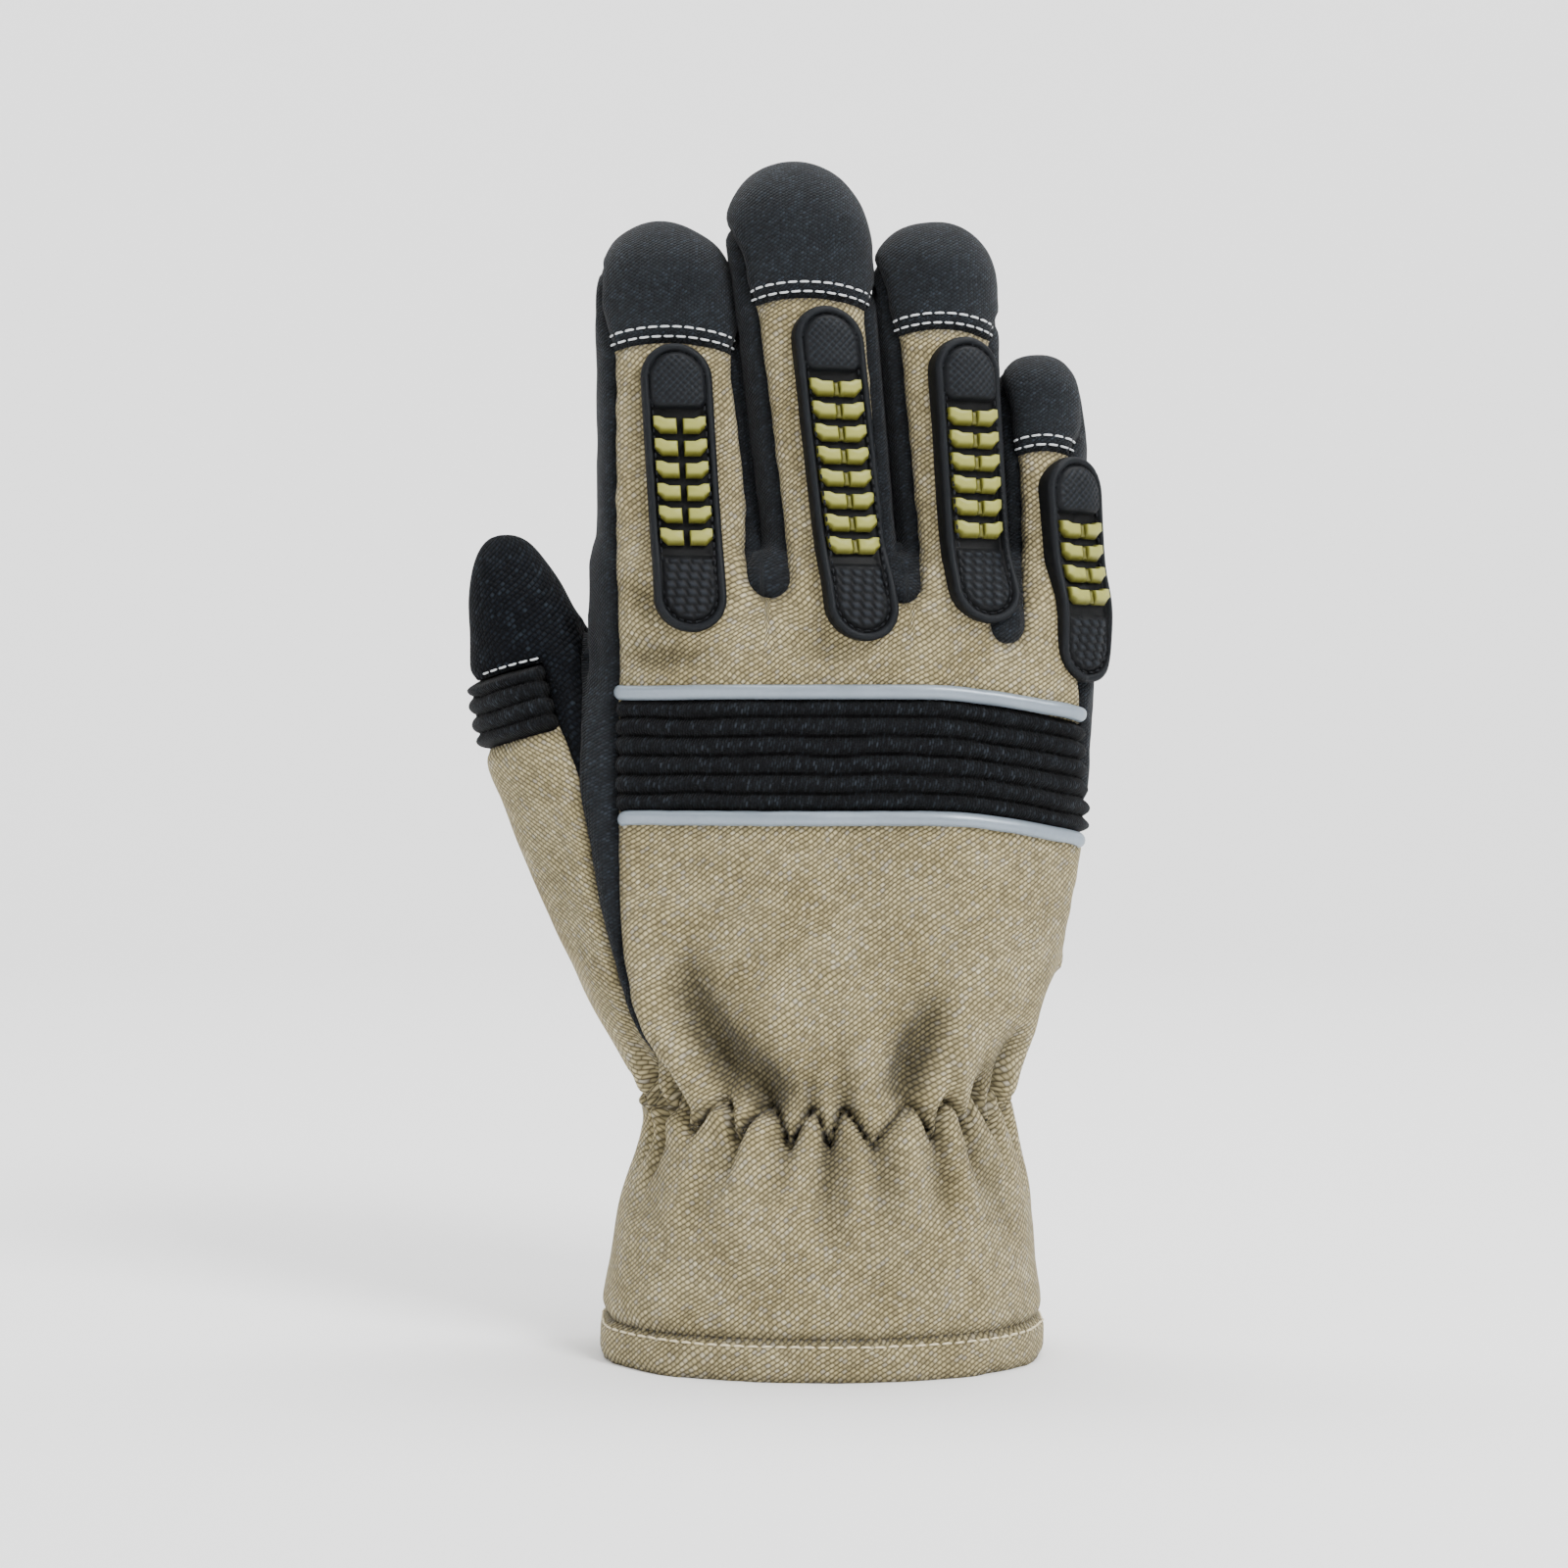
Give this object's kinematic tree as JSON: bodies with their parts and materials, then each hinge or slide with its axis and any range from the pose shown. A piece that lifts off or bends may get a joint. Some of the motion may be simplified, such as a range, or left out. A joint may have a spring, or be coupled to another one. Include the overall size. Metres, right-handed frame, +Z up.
{
  "type": "firefighter glove",
  "caption": "Right-hand firefighter glove in tan and black cloth, standing on its gathered open cuff, with ribbed knuckle band and moulded finger guards.",
  "frame": {"origin": "middle of the bounding box at the floor, under the cuff's hem", "axes": "+Z up from the cuff to the fingertips, -Y faces out from the back of the hand, +Y from the palm, and the thumb points to -X"},
  "size_m": [0.1498, 0.0758, 0.28],
  "materials": {
    "tan_cloth": "coarse heather twill, matte",
    "black_knit": "dense knit with grey flecks, matte",
    "black_rib": "padded ribs, matte",
    "grey_piping": "reflective tape, satin",
    "black_guard": "moulded, satin",
    "yellow_block": "moulded, satin"
  },
  "bodies": {
    "root": {"cuff_back": "tan_cloth", "hem_back": "tan_cloth", "hand_back_panel": "tan_cloth", "finger_back_panel": "tan_cloth", "thumb_back": "tan_cloth", "cuff_palm": "black_knit", "hem_palm": "black_knit", "web_index_middle": "black_knit", "web_middle_ring": "black_knit", "web_ring_little": "black_knit", "side_strip_index": "black_knit", "side_strip_little": "black_knit", "cap_index": "black_knit", "cap_middle": "black_knit", "cap_ring": "black_knit", "cap_little": "black_knit", "thumb_shell": "black_knit", "palm_panel": "black_knit", "palm_patch": "black_knit", "knuckle_band": "black_rib", "thumb_rib_band": "black_rib", "piping_upper": "grey_piping", "piping_lower": "grey_piping", "guard_frame_index": "black_guard", "guard_blocks_index": "yellow_block", "guard_frame_middle": "black_guard", "guard_blocks_middle": "yellow_block", "guard_frame_ring": "black_guard", "guard_blocks_ring": "yellow_block", "guard_frame_little": "black_guard", "guard_blocks_little": "yellow_block"}
  },
  "joints": []
}
